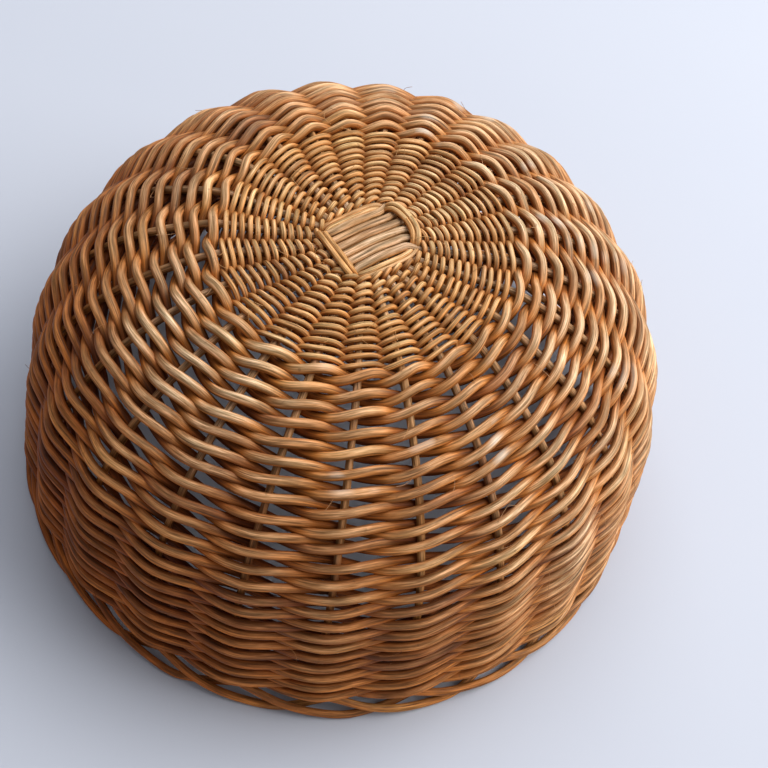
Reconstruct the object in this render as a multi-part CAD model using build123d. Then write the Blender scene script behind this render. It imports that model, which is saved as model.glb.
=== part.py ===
"""A round woven reed basket, standing mouth down on its rim, with its base on top.

Millimetres. +Z is up, and Z = 0 is the surface that the rim stands on. The axis of the basket is
the Z axis. Six base stakes run along X over six that run along Y, and all twelve fan out, turn over
the shoulder and run down the side to the rim, where their ends are turned along it as a border.
The weavers go round in pairs. Of each pair one strand is outside every stake and one is inside it,
so each working length is made as two closed rings: a ribbed skin outside the stakes, with one rib
for each round, and the same inside them. The two rings of a length of the side weave are two nodes.
"""
from build123d import *
import os
from math import atan, cos, degrees, hypot, radians, sin, tan

# Reeds
STAKE_DIAMETER = 2.6
WALL_REED_DIAMETER = 3.2
BASE_REED_DIAMETER = 1.6
CLEARANCE = 0.15

# Stakes
STAKES_EACH_WAY = 6
SIDE_STAKES = 4 * STAKES_EACH_WAY
STAKE_PITCH = 3.2
CROWN_HEIGHT = 109.5
CROWN_RADIUS = 47.5
SIDE_ARCS = ((18.0, 18.0), (120.0, 11.0), (66.0, 57.5))
STAKE_END_HEIGHT = 12.5
FAN_END_RADIUS = 17.0
FAN_BENDS = (2.2, 1.8)

# Base weave
BASE_ROWS = 12
FIRST_BASE_ROW = 18.0
LAST_BASE_ROW = 51.4
BASE_WEB = 0.9
BINDING_HALF_WIDTHS = (11.4, 13.2)
BINDING_CORNER = 7.0

# Side weave: rounds in each working length of reed, from the base to the rim
WALL_LENGTHS = (4, 4, 4, 4, 3, 3)
FIRST_WALL_ROW = 55.5
LAST_WALL_ROW = 173.9
WALL_WEB = 1.4

# Border: one turned-down stake end as angle past its stake, radius and height
BORDER_HEIGHT = 1.15
BORDER_ROUTE = (
    (0.0, 109.8, 10.9),
    (4.0, 111.0, 7.4),
    (11.0, 112.9, BORDER_HEIGHT),
    (17.0, 112.6, BORDER_HEIGHT),
    (22.5, 109.7, BORDER_HEIGHT),
    (31.0, 109.3, BORDER_HEIGHT),
)
BORDER_BENDS = (18.0, 20.0, 35.0, 18.0)

STAKE_STEP = 360 / SIDE_STAKES
CROSS_LEVEL = STAKE_DIAMETER / 2 + 0.05


def side_point(distance):
    """Radius, height and downward slope of a stake at a distance along it from the axis."""
    step = min(distance, CROWN_RADIUS)
    radius, height, slope = step, CROWN_HEIGHT, 0.0
    distance -= step
    for bend, turn in SIDE_ARCS:
        swept = min(distance / bend, radians(turn))
        radius += bend * (sin(slope + swept) - sin(slope))
        height -= bend * (cos(slope) - cos(slope + swept))
        slope += swept
        distance -= bend * swept
    return radius + distance * cos(slope), height - distance * sin(slope), slope


def beside_stake(distance, offset):
    """Point in the (radius, height) plane at an offset outwards from a stake's centre line."""
    radius, height, slope = side_point(distance)
    return radius + offset * sin(slope), height + offset * cos(slope)


def round_section(path, diameter):
    """A reed's section at the start of its path."""
    return Plane(origin=path @ 0, z_dir=path % 0) * Circle(diameter / 2)


def reed(path, diameter):
    """A reed swept along its path."""
    return sweep(round_section(path, diameter), path=path)


def side_curve(angle):
    """Edges of a stake from the edge of the crown, over the shoulder and down to its end."""
    edges = []
    start, heading = (CROWN_RADIUS, CROWN_HEIGHT), (1, 0)
    for bend, turn in SIDE_ARCS:
        arc = JernArc(start, heading, bend, -turn)
        edges.append(arc)
        start, heading = arc @ 1, arc % 1
    drop = start.Y - STAKE_END_HEIGHT
    edges.append(Line(start, start + heading * (drop / abs(heading.Y))))
    outward = (cos(radians(angle)), sin(radians(angle)), 0)
    sideways = (sin(radians(angle)), -cos(radians(angle)), 0)
    plane = Plane(origin=(0, 0, 0), x_dir=outward, z_dir=sideways)
    return [plane * edge for edge in edges]


def half_stake(place, level):
    """Half of a stake that lies along X: from the cross, fanned out, to its end at the rim.

    place counts in half pitches from the middle of the set, and level is the set's height above
    the crown: the stake comes down, or up, to the crown's own height as it fans out.
    """
    across = place * STAKE_PITCH
    angle = place * STAKE_STEP
    outward = Vector(cos(radians(angle)), sin(radians(angle)), 0)
    crown = Vector(0, 0, CROWN_HEIGHT)
    bend_at = Vector(across / tan(radians(angle)), across, CROWN_HEIGHT + level)
    fan_end = crown + outward * FAN_END_RADIUS
    run = fan_end - bend_at
    fan_turn = run.get_angle(Vector(1, 0, 0))
    level_turn = degrees(atan(abs(level) / hypot(run.X, run.Y)))
    turns = (fan_turn, level_turn)
    bends = [bend / tan(radians(turn / 2)) for bend, turn in zip(FAN_BENDS, turns)]
    start = Vector(0, across, CROWN_HEIGHT + level)
    edge_of_crown = crown + outward * CROWN_RADIUS
    fan = FilletPolyline(start, bend_at, fan_end, edge_of_crown, radius=bends)
    return reed(Wire(fan.edges() + side_curve(angle)), STAKE_DIAMETER)


def stake(place, level):
    """A whole stake, from rim to rim over the base."""
    half = half_stake(place, level)
    return half + mirror(half, about=Plane.YZ)


def ribbed_skin(rows, side, reed_diameter, web):
    """One working length of weavers on one side of the stakes: side is 1 outside, -1 inside.

    Each round is a rib with the reed's own section, and a thin web joins a round to the next.
    """
    near = STAKE_DIAMETER / 2 + CLEARANCE
    middle = near + reed_diameter / 2
    section = Sketch()
    for distance in rows:
        section += Pos(*beside_stake(distance, side * middle)) * Circle(reed_diameter / 2)
    for this_row, next_row in zip(rows, rows[1:]):
        corners = [
            beside_stake(this_row, side * near),
            beside_stake(this_row, side * (near + web)),
            beside_stake(next_row, side * (near + web)),
            beside_stake(next_row, side * near),
        ]
        section += make_face(Polyline(*corners, close=True))
    return revolve(Plane.XZ * section, axis=Axis.Z)


def weave(rows, reed_diameter, web):
    """The outer and inner skins of one working length of weavers."""
    return [ribbed_skin(rows, side, reed_diameter, web) for side in (1, -1)]


def row_distances(first, last, count):
    """Evenly spaced rows, as distances along the stakes."""
    return [first + (last - first) * row / (count - 1) for row in range(count)]


def binding():
    """Two rounds of fine reed that bind the cross, on top of the stakes and below them."""
    height = CROSS_LEVEL + STAKE_DIAMETER / 2 + CLEARANCE + BASE_REED_DIAMETER / 2
    rounds = []
    for half_width in BINDING_HALF_WIDTHS:
        for level in (height, -height):
            outline = RectangleRounded(2 * half_width, 2 * half_width, BINDING_CORNER).wire()
            path = Pos(0, 0, CROWN_HEIGHT + level) * outline
            rounds.append(reed(path, BASE_REED_DIAMETER))
    return rounds


def border_end(angle):
    """One stake end turned along the rim, from its tip back to the stake.

    Its section has the flat that the reed has worn underneath, where it stands.
    """
    points = []
    for past, radius, height in reversed(BORDER_ROUTE):
        turned = radians(angle + past)
        points.append(Vector(radius * cos(turned), radius * sin(turned), height))
    path = FilletPolyline(*points, radius=tuple(reversed(BORDER_BENDS))).wire()
    sideways = Vector(0, 0, 1).cross(path % 0)
    section = Circle(STAKE_DIAMETER / 2) - Pos(0, -BORDER_HEIGHT - 1) * Rectangle(5, 2)
    return sweep(Plane(origin=path @ 0, x_dir=sideways, z_dir=path % 0) * section, path=path)


def save(name, solids):
    """Write one node's solids to its file."""
    bodies = [solid for shape in solids for solid in shape.solids()]
    node = bodies[0] if len(bodies) == 1 else Compound(children=bodies)
    export_step(node, f"parts/{name}.step")


def save_stakes():
    """Six stakes along X over six along Y."""
    for number in range(STAKES_EACH_WAY):
        place = number - (STAKES_EACH_WAY - 1) / 2
        save(f"upper_stake_{number + 1}", [stake(place, CROSS_LEVEL)])
        save(f"lower_stake_{number + 1}", [Rot(0, 0, 90) * stake(place, -CROSS_LEVEL)])


def save_weave():
    """The binding, the fine weave of the base and the thick weave of the side."""
    save("centre_binding", binding())
    base_rows = row_distances(FIRST_BASE_ROW, LAST_BASE_ROW, BASE_ROWS)
    half = BASE_ROWS // 2
    save("base_weave_1", weave(base_rows[:half], BASE_REED_DIAMETER, BASE_WEB))
    save("base_weave_2", weave(base_rows[half:], BASE_REED_DIAMETER, BASE_WEB))
    wall_rows = row_distances(FIRST_WALL_ROW, LAST_WALL_ROW, sum(WALL_LENGTHS))
    begin = 0
    for number, rounds in enumerate(WALL_LENGTHS, start=1):
        rows = wall_rows[begin:begin + rounds]
        outer, inner = weave(rows, WALL_REED_DIAMETER, WALL_WEB)
        save(f"side_weave_{number}_outer", [outer])
        save(f"side_weave_{number}_inner", [inner])
        begin += rounds


def save_border():
    """The border that the basket stands on."""
    ends = [border_end(STAKE_STEP * (place + 0.5)) for place in range(SIDE_STAKES)]
    save("rim_border", ends)


os.makedirs("parts", exist_ok=True)
save_stakes()
save_weave()
save_border()
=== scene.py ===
from math import cos, pi, radians, sin, tan

import bpy
import numpy as np
from mathutils import Matrix, Vector


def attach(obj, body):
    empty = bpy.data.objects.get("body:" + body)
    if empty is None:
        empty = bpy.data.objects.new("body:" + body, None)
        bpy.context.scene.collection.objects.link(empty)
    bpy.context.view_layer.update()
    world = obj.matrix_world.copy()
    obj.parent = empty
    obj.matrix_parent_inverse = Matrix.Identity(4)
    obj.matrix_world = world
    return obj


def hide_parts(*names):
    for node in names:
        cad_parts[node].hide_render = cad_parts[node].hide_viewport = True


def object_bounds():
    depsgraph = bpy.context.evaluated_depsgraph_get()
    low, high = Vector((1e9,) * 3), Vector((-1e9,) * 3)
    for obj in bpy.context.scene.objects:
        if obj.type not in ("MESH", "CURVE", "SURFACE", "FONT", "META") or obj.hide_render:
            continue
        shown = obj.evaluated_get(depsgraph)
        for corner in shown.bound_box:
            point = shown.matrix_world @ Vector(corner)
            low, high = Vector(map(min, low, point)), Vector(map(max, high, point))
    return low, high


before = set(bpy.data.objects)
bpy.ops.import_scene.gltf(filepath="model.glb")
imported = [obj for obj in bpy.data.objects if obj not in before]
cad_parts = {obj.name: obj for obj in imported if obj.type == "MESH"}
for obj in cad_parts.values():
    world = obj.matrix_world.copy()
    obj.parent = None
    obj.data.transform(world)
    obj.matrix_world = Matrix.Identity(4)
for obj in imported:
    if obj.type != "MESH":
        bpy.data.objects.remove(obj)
cad_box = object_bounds()

# Everything is in metres. The lines of the stakes repeat the CAD part's own dimensions, and the
# rounds and the thickness of the weavers are fitted to the photo.
MM = 0.001
STAKE_RADIUS = 1.3 * MM
WALL_REED_RADIUS = 1.55 * MM
BASE_REED_RADIUS = 0.92 * MM
STAKES_EACH_WAY = 6
SIDE_STAKES = 4 * STAKES_EACH_WAY
STAKE_STEP = 360 / SIDE_STAKES
STAKE_PITCH = 3.2 * MM
CROWN_HEIGHT = 109.5 * MM
CROWN_RADIUS = 47.5 * MM
# Each arc of a stake's side as its radius and its turn in degrees.
SIDE_ARCS = ((18.0 * MM, 18.0), (120.0 * MM, 11.0), (66.0 * MM, 57.5))
FAN_END_RADIUS = 17.0 * MM
STAKE_END = 176.5 * MM
STAKE_TIP = (163.0 * MM, 168.0 * MM, 173.0 * MM, STAKE_END)
CROSS_LEVEL = 1.35 * MM
# How far the upper stakes bulge in the middle of the cross.
CROSS_DOME = 0.9 * MM

# Rounds of weavers: the first and the last, as distances along the stakes, and their number.
BASE_ROWS = (17.6 * MM, 49.2 * MM, 12)
WALL_ROWS = (53.3 * MM, 173.9 * MM, 22)
# Rounds in each working length of thick reed.
WALL_LENGTHS = (4, 4, 4, 4, 3, 3)
# How closely each of the first rounds follows the outline of the binding.
HUGS = (1.0, 0.8, 0.6, 0.4, 0.2)
# How late in its wave a reed is furthest out: a little past the stake.
LATE = radians(13)
# The binding's half widths along X and Y, and how far it sits off the axis.
BINDING_ROUNDS = ((13.2 * MM, 10.9 * MM), (15.1 * MM, 12.6 * MM))
BINDING_SHIFT = 1.2 * MM

# One turned-down stake end: degrees past its stake, radius and height in millimetres.
BORDER_ROUTE = (
    (3.5, 111.2, 9.2), (9.0, 112.8, 5.6), (15.0, 113.2, 2.6), (21.0, 113.0, 1.3),
    (26.0, 112.2, 1.3), (30.5, 109.6, 2.2), (36.0, 107.2, 4.6),
)

# How far a hand-made basket strays: (times round, size, start) terms of a smooth wobble.
SPACING_WOBBLE = ((1, 0.040, -3.2), (3, 0.012, 0.8), (5, 0.007, 2.1))
HEIGHT_WOBBLE = ((2, 0.45 * MM, 0.4), (3, 0.35 * MM, 2.6), (5, 0.2 * MM, 5.1))
ROUND_WOBBLE = ((2, 0.5 * MM, 1.1), (3, 0.35 * MM, 4.4), (4, 0.25 * MM, 0.2))
# Stretches of the stakes where the wobble sets in and where it dies away.
WOBBLE_START = (15 * MM, 60 * MM)
WOBBLE_END = (150 * MM, 178 * MM)
# The side where the fine weave is drawn in tighter, by how much, and where that starts and ends.
BACK = radians(48.5)
BACK_PULL = 1.5 * MM
PULL_START = (17 * MM, 50 * MM)
PULL_END = (60 * MM, 110 * MM)
# How much further down the last rounds are pushed, and where that sets in.
RIM_PUSH = 1.8 * MM
PUSH_START = (150 * MM, 176 * MM)
# How far the base has leaned over from the rim.
LEAN = (6.17 * MM, 3.35 * MM)
# The side towards the window lamp, to the camera's right; the reed materials paint shade on the side away
# from it.
LIT_SIDE = (0.749, -0.663, 0.0)

CAMERA_AZIMUTH = -41.5
CAMERA_ELEVATION = 55.57
CAMERA_ROLL = -10.38
CAMERA_DISTANCE = 0.5211
CAMERA_LENS = 75.0
# How far its aim is off the middle of the base, to its own right and up.
CAMERA_SHIFT = (0.0051, -0.0477)
FLOOR_HALF_WIDTH = 3.0
FLOOR_GAP = 0.2 * MM

rng = np.random.default_rng(24)


# Lines of the basket

def side_point(distance):
    """Radius, height and downward slope of a stake at distances along it from the axis."""
    distance = np.asarray(distance, float)
    radius = np.minimum(distance, CROWN_RADIUS)
    height = np.full_like(distance, CROWN_HEIGHT)
    slope = np.zeros_like(distance)
    left = distance - radius
    for bend, turn in SIDE_ARCS:
        swept = np.clip(left / bend, 0, radians(turn))
        radius = radius + bend * (np.sin(slope + swept) - np.sin(slope))
        height = height - bend * (np.cos(slope) - np.cos(slope + swept))
        slope = slope + swept
        left = left - bend * swept
    return radius + left * np.cos(slope), height - left * np.sin(slope), slope


def wobble(azimuth, terms):
    """A smooth, closed stray from true, round the basket."""
    return sum(size * np.sin(times * azimuth + start) for times, size, start in terms)


def ease(value, low, high):
    """0 below low, 1 above high, and a smooth climb between."""
    part = np.clip((value - low) / (high - low), 0, 1)
    return part * part * (3 - 2 * part)


def surface(azimuth, distance, offset):
    """Points by azimuth, distance along the stakes and offset outwards, and the normals there."""
    azimuth, distance, offset = np.broadcast_arrays(azimuth, distance, offset)
    spread = ease(distance, *WOBBLE_START)
    settle = spread * (1 - ease(distance, *WOBBLE_END))
    pull = ease(distance, *PULL_START) * (1 - ease(distance, *PULL_END))
    distance = distance - BACK_PULL * pull * (1 + np.cos(azimuth - BACK))
    distance = distance + settle * wobble(azimuth, HEIGHT_WOBBLE)
    distance = distance + RIM_PUSH * ease(distance, *PUSH_START)
    radius, height, slope = side_point(distance)
    radius = radius + offset * np.sin(slope) + settle * wobble(azimuth, ROUND_WOBBLE)
    height = height + offset * np.cos(slope)
    azimuth = azimuth + spread * wobble(azimuth, SPACING_WOBBLE)
    points = np.stack([radius * np.cos(azimuth), radius * np.sin(azimuth), height], axis=-1)
    tilt = np.sin(slope)
    normals = np.stack([tilt * np.cos(azimuth), tilt * np.sin(azimuth), np.cos(slope)], axis=-1)
    return points, normals


def uneven(turn, knots, size):
    """A smooth random wander round a ring, with a new value at each knot."""
    values = rng.normal(0, size, knots)
    place = np.mod(turn / (2 * pi), 1) * knots
    low = np.floor(place).astype(int) % knots
    part = (1 - np.cos(pi * (place - np.floor(place)))) / 2
    return values[low] * (1 - part) + values[(low + 1) % knots] * part


def rounded(points, times):
    """An open line with its corners cut again and again, until it is a smooth curve."""
    points = np.asarray(points, float)
    for _ in range(times):
        near = 0.75 * points[:-1] + 0.25 * points[1:]
        far = 0.25 * points[:-1] + 0.75 * points[1:]
        middle = np.stack([near, far], axis=1).reshape(-1, 3)
        points = np.concatenate([points[:1], middle, points[-1:]])
    return points


def evenly(points, spacing):
    """The same line with points at an even spacing."""
    steps = np.linalg.norm(np.diff(points, axis=0), axis=1)
    travelled = np.concatenate([[0], np.cumsum(steps)])
    wanted = np.linspace(0, travelled[-1], max(4, int(travelled[-1] / spacing)))
    return np.stack([np.interp(wanted, travelled, points[:, axis]) for axis in range(3)], axis=1)


def steady_normals(points):
    """Normals along an open line that never spin round it."""
    along = np.gradient(points, axis=0)
    along /= np.linalg.norm(along, axis=1)[:, None]
    normal = np.cross(along[0], (0.0, 0.0, 1.0))
    if np.linalg.norm(normal) < 0.1:
        normal = np.cross(along[0], (0.0, 1.0, 0.0))
    found = []
    for direction in along:
        normal = normal - direction * np.dot(normal, direction)
        normal = normal / np.linalg.norm(normal)
        found.append(normal)
    return np.array(found)


# Reeds as meshes

def tube_points(points, normals, radius, sides, closed):
    """Rings of points round a line, a little out of round, each from the side away from the normal."""
    if closed:
        along = np.roll(points, -1, axis=0) - np.roll(points, 1, axis=0)
    else:
        along = np.gradient(points, axis=0)
    along = along / np.linalg.norm(along, axis=1)[:, None]
    across = np.cross(along, normals)
    across /= np.linalg.norm(across, axis=1)[:, None]
    outward = np.cross(across, along)
    angle = pi + np.arange(sides) * 2 * pi / sides
    oval = 1 + 0.03 * np.cos(2 * angle + rng.uniform(0, 6))
    oval = oval + 0.015 * np.cos(3 * angle + rng.uniform(0, 6))
    swing = (np.broadcast_to(radius, (len(points),))[:, None] * oval)[:, :, None]
    ring = points[:, None, :] + swing * (
        np.cos(angle)[None, :, None] * outward[:, None, :]
        + np.sin(angle)[None, :, None] * across[:, None, :]
    )
    return ring.reshape(-1, 3)


def tube_faces(rings, rows, sides):
    """Four-sided faces between each ring of a tube and the next."""
    here = np.arange(rows)[:, None] * sides
    there = ((np.arange(rows) + 1) % rings)[:, None] * sides
    this_side = np.arange(sides)[None, :]
    next_side = (this_side + 1) % sides
    corners = [here + this_side, here + next_side, there + next_side, there + this_side]
    return np.stack(corners, axis=-1).reshape(-1, 4)


def tube_map(points, rows, sides):
    """UV places of those faces: metres along the reed, from a random start, and share of a turn."""
    step = np.linalg.norm(np.diff(points, axis=0), axis=1)
    length = np.concatenate([[0], np.cumsum(step)])
    length = np.append(length, length[-1] + step[-1])
    start = length[:rows][:, None] + np.zeros(sides)
    end = length[1:rows + 1][:, None] + np.zeros(sides)
    low = np.arange(sides)[None, :] / sides + np.zeros((rows, 1))
    high = low + 1 / sides
    marks = np.stack([start, low, start, high, end, high, end, low], axis=-1).reshape(-1, 4, 2)
    marks[:, :, 0] += rng.uniform(0, 40)
    return marks


class Bundle:
    """Reeds gathered into one mesh."""

    def __init__(self):
        self.points, self.faces, self.map = [], [], []
        self.ends = []
        self.facts = {"tone": [], "inside": []}
        self.count = 0

    def add(self, points, normals, radius, sides, closed=False, inside=None):
        """A round reed along a line. inside is 0 on the basket's outer face and 1 on its inner; the reed
        materials paint shade from it.
        """
        rings = len(points)
        rows = rings if closed else rings - 1
        self.points.append(tube_points(points, normals, radius, sides, closed))
        self.faces.append(tube_faces(rings, rows, sides) + self.count)
        self.map.append(tube_map(points, rows, sides))
        if not closed:
            last = self.count + (rings - 1) * sides
            self.ends.append([self.count + side for side in reversed(range(sides))])
            self.ends.append([last + side for side in range(sides)])
        tone = rng.uniform(0, 1) + 0.12 * np.cumsum(rng.normal(0, 0.05, rings))
        inside = np.zeros(rings) if inside is None else inside
        self.facts["tone"].append(np.repeat(np.clip(tone, -0.1, 1.1), sides))
        self.facts["inside"].append(np.repeat(inside, sides))
        self.count += rings * sides

    def piece(self, name, material, nodes):
        """The bundle as an object that stands for CAD nodes."""
        mesh = bpy.data.meshes.new(name)
        faces = np.concatenate(self.faces).tolist() + self.ends
        points = np.concatenate(self.points)
        points[:, :2] += np.outer(points[:, 2] / CROWN_HEIGHT, LEAN)
        mesh.from_pydata(points.tolist(), [], faces)
        marks = np.concatenate(self.map).reshape(-1)
        ends = sum(len(end) for end in self.ends)
        layer = mesh.uv_layers.new(name="reed")
        layer.data.foreach_set("uv", np.concatenate([marks, np.zeros(ends * 2)]).astype(np.float32))
        for fact, values in self.facts.items():
            attribute = mesh.attributes.new(fact, "FLOAT", "POINT")
            attribute.data.foreach_set("value", np.concatenate(values).astype(np.float32))
        mesh.polygons.foreach_set("use_smooth", [True] * len(mesh.polygons))
        mesh.materials.append(material)
        mesh.update()
        made = bpy.data.objects.new(name, mesh)
        bpy.context.scene.collection.objects.link(made)
        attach(made, "root")
        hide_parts(*nodes)


# Materials

class Nodes:
    """A material's node tree, built in short calls."""

    def __init__(self, name):
        self.material = bpy.data.materials.new(name)
        self.material.use_nodes = True
        self.tree = self.material.node_tree
        self.shader = self.tree.nodes["Principled BSDF"]

    def make(self, kind, settings=None, **inputs):
        """A node, with its inputs set or linked: by name, or by number as i0, i1 and so on."""
        node = self.tree.nodes.new(kind)
        for key, value in (settings or {}).items():
            setattr(node, key, value)
        for key, value in inputs.items():
            numbered = key[0] == "i" and key[1:].isdigit()
            self.feed(node, int(key[1:]) if numbered else key.replace("_", " "), value)
        return node

    def feed(self, node, key, value):
        """Sets or links one input."""
        socket = node.inputs[key]
        if isinstance(value, bpy.types.NodeSocket):
            self.tree.links.new(value, socket)
        else:
            socket.default_value = value

    def math(self, operation, first, second=0.0):
        """One step of arithmetic."""
        return self.make("ShaderNodeMath", {"operation": operation}, i0=first, i1=second).outputs[0]

    def times(self, first, *others):
        """The product of its values."""
        for other in others:
            first = self.math("MULTIPLY", first, other)
        return first

    def rest(self, value):
        """What is left of 1."""
        return self.math("SUBTRACT", 1.0, value)

    def mix(self, amount, first, second, blend="MIX"):
        """Colour mix; amount is the share of the second."""
        settings = {"data_type": "RGBA", "blend_type": blend}
        return self.make("ShaderNodeMix", settings, i0=amount, i6=first, i7=second).outputs[2]

    def tint(self, amount, colour, filter_colour):
        """A colour seen through another; amount is how much of it."""
        return self.mix(amount, colour, (*filter_colour, 1.0), "MULTIPLY")

    def noise(self, vector, scale, detail=2.0, roughness=0.5):
        """Smooth noise: scale is how many to the metre, or to the unit of the vector."""
        settings = {"Vector": vector, "Scale": scale, "Detail": detail, "Roughness": roughness}
        return self.make("ShaderNodeTexNoise", None, **settings).outputs["Fac"]

    def ramp(self, value, stops):
        """A colour ramp from (place, colour) stops."""
        node = self.make("ShaderNodeValToRGB", None, Fac=value)
        node.color_ramp.interpolation = "EASE"
        points = node.color_ramp.elements
        while len(points) < len(stops):
            points.new(0.5)
        for point, (place, colour) in zip(points, stops):
            point.position = place
            point.color = (*colour, 1.0)
        return node.outputs["Color"]

    def between(self, value, low, high, first=0.0, second=1.0):
        """value from low..high taken to first..second, clamped."""
        ends = {"From_Min": low, "From_Max": high, "To_Min": first, "To_Max": second}
        return self.make("ShaderNodeMapRange", None, Value=value, **ends).outputs["Result"]

    def attribute(self, name):
        """A fact that a bundle keeps for each point of its reeds."""
        return self.make("ShaderNodeAttribute", {"attribute_name": name}).outputs["Fac"]

    def axis(self, vector, name):
        """One part of a vector."""
        return self.make("ShaderNodeSeparateXYZ", None, Vector=vector).outputs[name]


class ReedNodes(Nodes):
    """The node tree of a kind of reed, with the measures that its look depends on.

    Of these, fibre and fine are its grain and stretch is a slower change along it, cloud and patch
    change over the basket, up is how far it faces up, lit_side is 1 on the side towards the window
    lamp and 0 on the other, and low and far_side_shade are painted shade: 1 lower down, away from the lit
    side.
    """

    def __init__(self, name, fibres):
        super().__init__(name)
        self.place = self.make("ShaderNodeTexCoord").outputs["Object"]
        self.reed = self.make("ShaderNodeUVMap", {"uv_map": "reed"}).outputs["UV"]
        self.fibre = self.grain(55.0, fibres, 2.5)
        self.fine = self.grain(150.0, fibres * 2.6, 2.0)
        self.stretch = self.grain(26.0, 1.2, 2.0)
        self.patch = self.noise(self.place, 34.0, 3.0, 0.55)
        self.cloud = self.noise(self.place, 11.0, 2.0, 0.5)
        self.inside = self.attribute("inside")
        self.up = self.axis(self.make("ShaderNodeNewGeometry").outputs["Normal"], "Z")
        self.height = self.axis(self.place, "Z")
        product = {"operation": "DOT_PRODUCT"}
        towards_light = self.make("ShaderNodeVectorMath", product, i0=self.place, i1=LIT_SIDE)
        # 1 on the side towards the window lamp: the reeds on the other side get painted shade.
        self.lit_side = self.between(towards_light.outputs["Value"], -0.09, 0.09)
        away_from_light = self.rest(self.times(self.lit_side, 0.8))
        # Painted shade lower down, mostly on the side away from the light.
        self.low = self.times(self.between(self.height, 0.035, 0.100, 1.0, 0.0), away_from_light)
        # Painted shade over the side away from the light, below the shoulder.
        self.far_side_shade = self.times(self.between(self.height, 0.085, 0.106, 1.0, 0.0), self.rest(self.lit_side))

    def grain(self, along, around, detail):
        """Noise drawn out along the reed: so many to the metre, and round it."""
        mapping = self.make("ShaderNodeMapping", None, Vector=self.reed, Scale=(along, around, 1.0))
        return self.noise(mapping.outputs[0], 1.0, detail, 0.6)

    def patches_and_shade(self, dark, middle, light):
        """The reed's own colour, in patches and from reed to reed, with painted shade: darker inside the
        weave and lower down on the side away from the light.
        """
        amount = self.math("ADD", self.times(self.attribute("tone"), 0.16), self.times(self.patch, 0.34))
        amount = self.math("ADD", amount, self.times(self.stretch, 0.40))
        # Painted shade: darker inside the weave and lower down on the side away from the light.
        amount = self.math("SUBTRACT", amount, self.between(self.inside, 0.10, 0.7, 0.0, 0.08))
        amount = self.math("SUBTRACT", amount, self.times(self.low, 0.07))
        return self.ramp(amount, ((0.22, dark), (0.44, middle), (0.70, light)))

    def shaded_flanks(self, flank_shade):
        """How much a point is on a flank of its reed, between the outer face and the inner, times the
        strength of the painted shade there, against its neighbours.
        """
        off_middle = self.math("ABSOLUTE", self.math("SUBTRACT", self.axis(self.reed, "Y"), 0.5))
        return self.times(self.between(off_middle, 0.08, 0.27), flank_shade)

    def wear_and_top_light(self, shaded_flank):
        """How far the outer face is paled: partly rubbed and bleached wear, partly painted top light, so
        most where it faces up and least on the flanks and lower down on the side away from the light.
        """
        return self.times(
            self.between(self.up, 0.05, 0.95),
            self.between(self.cloud, 0.36, 0.64, 0.40, 1.0),
            self.between(self.stretch, 0.34, 0.58, 0.40, 1.0),
            self.between(self.inside, 0.06, 0.60, 1.0, 0.0),
            self.between(self.fine, 0.30, 0.62, 0.45, 1.0),
            self.rest(self.times(self.low, 0.75)),
            self.rest(self.times(shaded_flank, 0.7)),
        )

    def streaked(self, colour):
        """The colour with the light and dark lines of the fibres."""
        coarse = self.between(self.fibre, 0.38, 0.62, 0.52, 1.36)
        streak = self.times(coarse, self.between(self.fine, 0.36, 0.64, 0.72, 1.24))
        parts = {"Red": streak, "Green": streak, "Blue": self.math("POWER", streak, 1.15)}
        lines = self.make("ShaderNodeCombineColor", None, **parts).outputs[0]
        return self.mix(1.0, colour, lines, "MULTIPLY")

    def with_painted_shade(self, colour, shaded_flank, shade):
        """The colour with painted shade: darker inside the weave, on the flanks, over the side away from
        the light and lower down.
        """
        # Painted shade inside the weave, where a reed passes behind its neighbours.
        inner = self.between(self.inside, shade, shade + 0.5, 0.0, 0.85)
        colour = self.tint(inner, colour, (0.66, 0.50, 0.40))
        colour = self.tint(shaded_flank, colour, (0.66, 0.52, 0.42))
        # Painted shade over the side away from the light, and warmer, deeper painted shade lower down.
        colour = self.tint(self.far_side_shade, colour, (0.80, 0.64, 0.46))
        return self.tint(self.low, colour, (0.98, 0.82, 0.60))

    def marked(self, colour, split, spotted):
        """The colour with dark splits and flecks, and with bleached spots on the shoulder of the lit side.
        """
        colour = self.mix(self.times(split, 0.75), colour, (0.055, 0.018, 0.005, 1.0))
        fleck = self.between(self.noise(self.place, 420.0, 1.0, 0.5), 0.72, 0.80)
        colour = self.mix(self.times(fleck, 0.40), colour, (0.10, 0.045, 0.015, 1.0))
        spot = self.between(self.noise(self.place, 52.0, 1.0, 0.5), 0.60, 0.68)
        spot = self.times(spot, self.between(self.up, 0.5, 0.8))
        spot = self.times(spot, self.between(self.inside, 0.06, 0.30, spotted, 0.0))
        shoulder = self.between(self.height, 0.080, 0.095)
        spot = self.times(spot, self.times(self.between(self.lit_side, 0.45, 0.60), shoulder))
        return self.mix(spot, colour, (0.78, 0.72, 0.62, 1.0))

    def ridged(self, split):
        """Normals with the fibres raised and the splits sunk."""
        ridges = self.math("ADD", self.times(self.fibre, 0.7), self.times(self.fine, 0.3))
        ridges = self.math("SUBTRACT", ridges, self.times(split, 0.5))
        return self.make("ShaderNodeBump", None, Height=ridges, Strength=0.75, Distance=0.00025).outputs[0]


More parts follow.
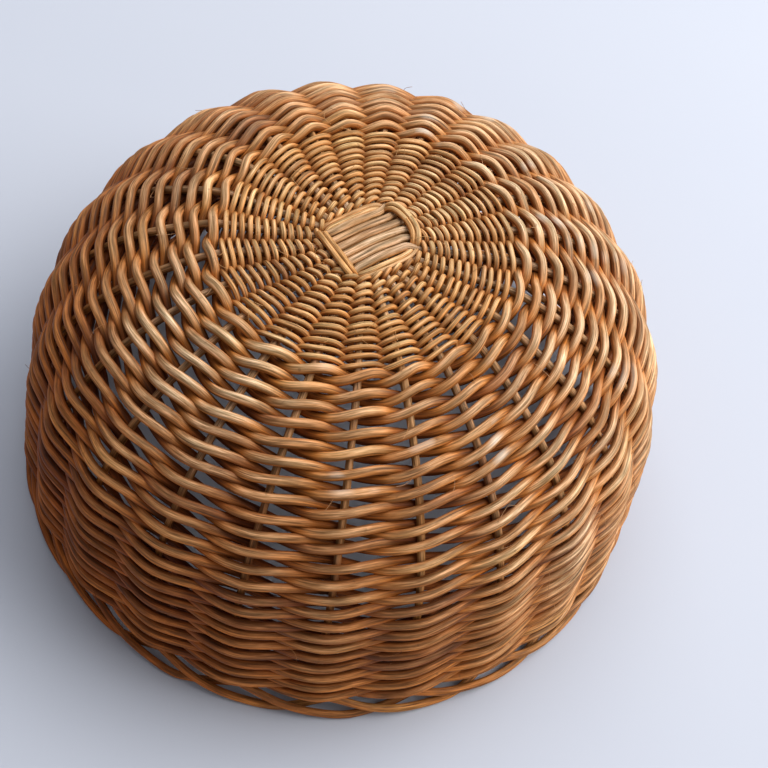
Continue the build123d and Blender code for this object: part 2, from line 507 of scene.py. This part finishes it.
def reed_material(name, dark, middle, light, bleach_and_light, wear_and_light, fibres, roughness, shade, flank_shade, spotted=0.0):
    """Peeled round reed: lengthwise fibres, patchy honey colour, painted shade inside the weave, paler on
    top from wear and painted top light.

    dark, middle and light are its own colours, and bleach_and_light is the colour of its paled outer
    face, partly worn and partly painted top light, and wear_and_light how strong that is. fibres is
    their number round the reed. shade is how far in from the outer face a stretch begins to get
    painted shade, and flank_shade how much painted shade a reed has at its flanks, against its
    neighbours. spotted is the strength of a few bleached spots on the shoulder of the lit side.
    """
    n = ReedNodes(name, fibres)
    # Painted shade on the flanks of each reed, where it meets its neighbours.
    shaded_flank = n.shaded_flanks(flank_shade)
    split = n.between(n.grain(42.0, fibres * 1.6, 1.0), 0.27, 0.33, 1.0, 0.0)
    colour = n.patches_and_shade(dark, middle, light)
    # Paler outer face: partly real wear, partly painted light on the faces turned up.
    colour = n.mix(n.times(n.wear_and_top_light(shaded_flank), wear_and_light), colour, (*bleach_and_light, 1.0))
    colour = n.with_painted_shade(n.streaked(colour), shaded_flank, shade)
    n.feed(n.shader, "Base Color", n.marked(colour, split, spotted))
    n.feed(n.shader, "Roughness", n.between(n.fibre, 0.3, 0.75, roughness - 0.08, roughness + 0.14))
    n.shader.inputs["Specular IOR Level"].default_value = 0.25
    n.feed(n.shader, "Normal", n.ridged(split))
    return n.material


THICK = reed_material(
    "thick_reed_look",
    dark=(0.220, 0.060, 0.008), middle=(0.450, 0.160, 0.026), light=(0.720, 0.355, 0.095),
    bleach_and_light=(0.800, 0.640, 0.420), wear_and_light=1.00,
    fibres=9.0, roughness=0.60, shade=0.42, flank_shade=0.85, spotted=0.55,
)
FINE = reed_material(
    "fine_reed_look",
    dark=(0.270, 0.082, 0.012), middle=(0.500, 0.198, 0.038), light=(0.760, 0.430, 0.142),
    bleach_and_light=(0.840, 0.660, 0.400), wear_and_light=0.80,
    fibres=7.0, roughness=0.60, shade=0.14, flank_shade=0.60,
)
STAKE = reed_material(
    "stake_reed_look",
    dark=(0.200, 0.065, 0.012), middle=(0.430, 0.190, 0.046), light=(0.700, 0.450, 0.190),
    bleach_and_light=(0.790, 0.700, 0.540), wear_and_light=0.85,
    fibres=8.0, roughness=0.62, shade=0.20, flank_shade=0.0,
)
BORDER = reed_material(
    "border_reed_look",
    dark=(0.180, 0.050, 0.007), middle=(0.390, 0.135, 0.023), light=(0.620, 0.300, 0.080),
    bleach_and_light=(0.720, 0.500, 0.260), wear_and_light=0.50,
    fibres=8.0, roughness=0.58, shade=0.30, flank_shade=0.0,
)


# Weaving

def ring_rows(first, last, count):
    """Evenly spaced rounds, as distances along the stakes."""
    return [first + (last - first) * row / (count - 1) for row in range(count)]


def bent(phase, fullness):
    """A wave from -1 to 1. It lingers at its crests if fullness is above 0, and else runs straighter."""
    wave = np.cos(phase)
    if fullness > 0:
        return np.tanh(fullness * wave) / np.tanh(fullness)
    return np.arcsin(-fullness * wave) / np.arcsin(-fullness)


def pair_of_weavers(bundle, distance, pitch, radius, sides, steps, stray, fullness, hug=0.0):
    """One round of pairing: two reeds that cross between stakes, one outside and one inside each.

    steps is the number of points from stake to stake, and stray how far the round wanders along
    the stakes. hug is how closely it follows the outline of the binding.
    """
    turn = np.arange(SIDE_STAKES * steps) * 2 * pi / (SIDE_STAKES * steps)
    rise = pitch / 4
    outline = np.cos(turn) - 1.0 + 1.5 * np.cos(2 * turn) - 0.7 * np.cos(4 * turn)
    shared = uneven(turn, 9, stray) + hug * MM * outline
    for phase in (0.0, pi):
        swing = SIDE_STAKES / 2 * (turn - radians(STAKE_STEP / 2)) + phase
        reach = 0.95 * (STAKE_RADIUS + radius) * (1 + uneven(turn, SIDE_STAKES, 0.04))
        late = swing - LATE - uneven(turn, SIDE_STAKES, 0.06)
        along = distance + shared + uneven(turn, 31, stray * 0.5)
        along = along - rise * (1 + uneven(turn, SIDE_STAKES, 0.10)) * np.sin(swing)
        thick = radius * (1 + uneven(turn, 17, 0.035)) * (1 + rng.normal(0, 0.025))
        points, normals = surface(turn, along, reach * bent(late, fullness))
        bundle.add(points, normals, thick, sides, closed=True, inside=0.5 - 0.5 * np.cos(late))


def loose_fibres(bundle, count, first, last):
    """Fine splinters that stand off the reeds between two distances along the stakes.

    Most run roughly with the weave, and the others across it.
    """

    for _ in range(count):
        azimuth = rng.uniform(0, 2 * pi)
        distance = rng.uniform(first, last)
        heading = rng.normal(0, 0.5) + (0 if rng.uniform() < 0.7 else pi / 2)
        length = rng.uniform(2.5, 8.0) * MM
        share = np.linspace(0, 1, 9)
        lift = rng.uniform(0.6, 2.6) * MM * share + 0.8 * MM * share * share
        curl = heading + rng.normal(0, 0.7) * share
        out = length * share
        around = azimuth + out * np.cos(curl) / max(20 * MM, side_point(distance)[0])
        points, normals = surface(around, distance + out * np.sin(curl), 2.6 * MM + lift)
        bundle.add(points, normals, 0.075 * MM, 5, inside=np.zeros(len(share)))


def weave_base():
    """The fine weave, in two working lengths."""
    rows = ring_rows(*BASE_ROWS)
    pitch = rows[1] - rows[0]
    half = len(rows) // 2
    hugs = HUGS + (0.0,) * (len(rows) - len(HUGS))
    for number, begin in enumerate((0, half), start=1):
        bundle = Bundle()
        for distance, hug in zip(rows[begin:begin + half], hugs[begin:begin + half]):
            pair_of_weavers(
                bundle, distance, pitch, BASE_REED_RADIUS,
                sides=10, steps=16, stray=0.12 * MM, fullness=1.5, hug=hug,
            )
        loose_fibres(bundle, 22, rows[begin], rows[begin + half - 1])
        bundle.piece(f"Fine_weave_{number}", FINE, [f"base_weave_{number}"])


def weave_side():
    """The thick weave, from the shoulder down to the rim."""
    rows = ring_rows(*WALL_ROWS)
    pitch = rows[1] - rows[0]
    begin = 0
    for number, rounds in enumerate(WALL_LENGTHS, start=1):
        bundle = Bundle()
        for distance in rows[begin:begin + rounds]:
            pair_of_weavers(
                bundle, distance, pitch, WALL_REED_RADIUS,
                sides=14, steps=14, stray=0.28 * MM, fullness=-0.85,
            )
        loose_fibres(bundle, 14, rows[begin], rows[begin + rounds - 1])
        begin += rounds
        skins = [f"side_weave_{number}_outer", f"side_weave_{number}_inner"]
        bundle.piece(f"Thick_weave_{number}", THICK, skins)


def stake_line(place, level, quarter):
    """A whole stake, from rim to rim. quarter turns the set from lying along X to along Y."""
    across = place * STAKE_PITCH
    local = radians(place * STAKE_STEP)

    bend_at = across / tan(local)
    spin = Matrix.Rotation(quarter * pi / 2, 3, "Z")
    down = [FAN_END_RADIUS, 22 * MM, 28 * MM, *np.arange(34 * MM, STAKE_END, 4 * MM), STAKE_END]
    halves = []
    for side in (1, -1):
        cross = []
        for share in (0.0, 0.35, 0.7, 0.95):
            dome = CROSS_DOME * (1 - share) if quarter == 0 else 0.0
            cross.append(spin @ Vector((side * share * bend_at, across, CROWN_HEIGHT + level + dome)))
        azimuth = (local if side == 1 else pi - local) + quarter * pi / 2
        points, _ = surface(azimuth, np.array(down), 0.0)
        halves.append(np.concatenate([np.array(cross), points]))
    whole = np.concatenate([halves[1][::-1], halves[0][1:]])
    return evenly(rounded(whole, 3), 1.3 * MM)


def stand_stakes():
    """Twelve stakes, six over six. Each is a little swollen where it shows in the cross."""
    for quarter, level, name in ((0, CROSS_LEVEL, "upper_stake"), (1, -CROSS_LEVEL, "lower_stake")):

        for number in range(STAKES_EACH_WAY):
            place = number - (STAKES_EACH_WAY - 1) / 2
            line = stake_line(place, level, quarter)
            turn = np.linspace(0, 2 * pi, len(line))
            bundle = Bundle()
            from_axis = np.hypot(line[:, 0], line[:, 1])
            swell = 1 + 0.12 * (1 - ease(from_axis, 11 * MM, 16 * MM))
            thick = STAKE_RADIUS * swell * (1 + uneven(turn, 23, 0.03))
            # How deep the stake runs in the weave, away from the cross; its material paints shade from it.
            inside = 0.30 * ease(from_axis, 12 * MM, 40 * MM)
            bundle.add(line, steady_normals(line), thick, 12, inside=inside)
            bundle.piece(f"{name}_reed_{number + 1}", STAKE, [f"{name}_{number + 1}"])


def bind_centre():
    """Two rounds of fine reed that bind the cross in pairs."""
    bundle = Bundle()
    turn = np.arange(220) * 2 * pi / 220
    over = bent(2 * turn, 3.4)
    # Squarer towards -X and rounder towards +X.
    squareness = 4.2 - 1.7 * np.cos(turn)
    past_stake = STAKE_RADIUS + BASE_REED_RADIUS
    for along_x, along_y in BINDING_ROUNDS:
        for lift in (CROSS_LEVEL + past_stake, CROSS_LEVEL - past_stake):
            power = squareness + uneven(turn, 4, 0.25)
            reach = (np.abs(np.cos(turn)) ** power + np.abs(np.sin(turn)) ** power) ** (-1 / power)
            reach = reach * (1 + uneven(turn, 7, 0.01))
            height = CROWN_HEIGHT + lift * over + uneven(turn, 9, 0.08 * MM)
            out_x = BINDING_SHIFT + along_x * reach * np.cos(turn)
            points = np.stack([out_x, along_y * reach * np.sin(turn), height], axis=1)
            normals = np.tile((0.0, 0.0, 1.0), (len(turn), 1))
            inside = 0.5 - 0.5 * np.sign(lift) * over
            bundle.add(points, normals, BASE_REED_RADIUS * 1.04, 12, closed=True, inside=inside)
    bundle.piece("Binding_reeds", FINE, ["centre_binding"])


def turn_down_border():
    """The stake ends, each swept down to the right and tucked along the rim."""
    bundle = Bundle()
    for number in range(SIDE_STAKES):
        azimuth = radians(STAKE_STEP * (number + 0.5))
        down, _ = surface(azimuth, np.array(STAKE_TIP), 0.0)
        warp = wobble(azimuth, SPACING_WOBBLE)
        route = []
        for past, radius, height in BORDER_ROUTE:
            turned = azimuth + warp + radians(past + rng.normal(0, 0.5))
            out = (radius + rng.normal(0, 0.25)) * MM
            route.append((out * cos(turned), out * sin(turned), height * MM))
        line = evenly(rounded(np.concatenate([down, np.array(route)]), 4), 0.9 * MM)
        bundle.add(line, steady_normals(line), STAKE_RADIUS * 1.03, 12)
    bundle.piece("Border_reeds", BORDER, ["rim_border"])


weave_base()
weave_side()
stand_stakes()
bind_centre()
turn_down_border()


# Setting: floor, light and camera

def outwards(azimuth, elevation):
    """The direction out from the basket: azimuth 0 is along -Y, and elevation is up from level."""
    a, e = radians(azimuth), radians(elevation)
    return Vector((sin(a) * cos(e), -cos(a) * cos(e), sin(e)))


def look_from(azimuth, elevation, roll, distance, middle, shift):
    """The camera's frame, at a distance from a middle that is shifted to its own right and up."""
    a, e, r = radians(azimuth), radians(elevation), radians(roll)
    level = Vector((cos(a), sin(a), 0))
    rise = Vector((-sin(a) * sin(e), cos(a) * sin(e), cos(e)))
    back = outwards(azimuth, elevation)
    right = cos(r) * level - sin(r) * rise
    up = sin(r) * level + cos(r) * rise
    turned = Matrix((right, up, back)).transposed().to_4x4()
    turned.translation = middle + right * shift[0] + up * shift[1] + back * distance
    return turned


def floor_material():
    """A pale, matt surface with faint clouds."""
    n = Nodes("floor_look")
    cloud = n.noise(n.make("ShaderNodeTexCoord").outputs["Object"], 7.0, 2.0)
    pale = (0.52, 0.55, 0.63)
    clouded = (pale[0] * 0.95, pale[1] * 0.96, pale[2] * 0.98)
    colour = n.mix(n.between(cloud, 0.3, 0.7, 0.0, 0.35), (*pale, 1.0), (*clouded, 1.0))
    n.feed(n.shader, "Base Color", colour)
    n.shader.inputs["Roughness"].default_value = 0.9
    return n.material


def lay_floor():
    """The surface that the basket stands on."""
    half = FLOOR_HALF_WIDTH
    corners = [(-half, -half, 0), (half, -half, 0), (half, half, 0), (-half, half, 0)]
    mesh = bpy.data.meshes.new("Floor")
    mesh.from_pydata(corners, [], [(0, 1, 2, 3)])
    mesh.materials.append(floor_material())
    floor = bpy.data.objects.new("Floor", mesh)
    floor.location.z = cad_box[0].z - FLOOR_GAP
    bpy.context.scene.collection.objects.link(floor)


def area_light(name, azimuth, elevation, distance, size, power, colour):
    """A square lamp that faces the basket."""
    light = bpy.data.lights.new(name, "AREA")
    light.shape = "SQUARE"
    light.size = size
    light.energy = power
    light.color = colour
    made = bpy.data.objects.new(name, light)
    bpy.context.scene.collection.objects.link(made)
    towards = outwards(azimuth, elevation)
    made.location = towards * distance + Vector((0, 0, 0.05))
    made.rotation_mode = "QUATERNION"
    made.rotation_quaternion = towards.to_track_quat("Z", "Y")


def light_room():
    """A window to the right of the camera, weaker lights beyond and in front, and a dim room."""
    area_light("Window", CAMERA_AZIMUTH + 108, 40, 1.5, 1.6, 35, (1.0, 0.98, 0.95))
    area_light("Fill", CAMERA_AZIMUTH + 180, 60, 2.0, 1.8, 23, (0.94, 0.97, 1.0))
    area_light("Front", CAMERA_AZIMUTH + 5, 4, 1.6, 0.8, 3, (1.0, 0.97, 0.94))
    world = bpy.data.worlds.new("Room")
    world.use_nodes = True
    background = world.node_tree.nodes["Background"]
    background.inputs["Color"].default_value = (0.93, 0.95, 1.0, 1.0)
    background.inputs["Strength"].default_value = 0.26
    bpy.context.scene.world = world


def set_camera():
    """The camera of the photo, aimed from the middle of the base."""
    data = bpy.data.cameras.new("Camera")
    data.lens = CAMERA_LENS
    data.sensor_width = 36.0
    data.clip_start = 0.02
    data.clip_end = 20.0
    camera = bpy.data.objects.new("Camera", data)
    bpy.context.scene.collection.objects.link(camera)
    base_centre = Vector((*LEAN, CROWN_HEIGHT + 2.9 * MM))
    camera.matrix_world = look_from(
        CAMERA_AZIMUTH, CAMERA_ELEVATION, CAMERA_ROLL, CAMERA_DISTANCE, base_centre, CAMERA_SHIFT,
    )
    bpy.context.scene.camera = camera
    bpy.context.scene.view_settings.view_transform = "Standard"


lay_floor()
light_room()
set_camera()
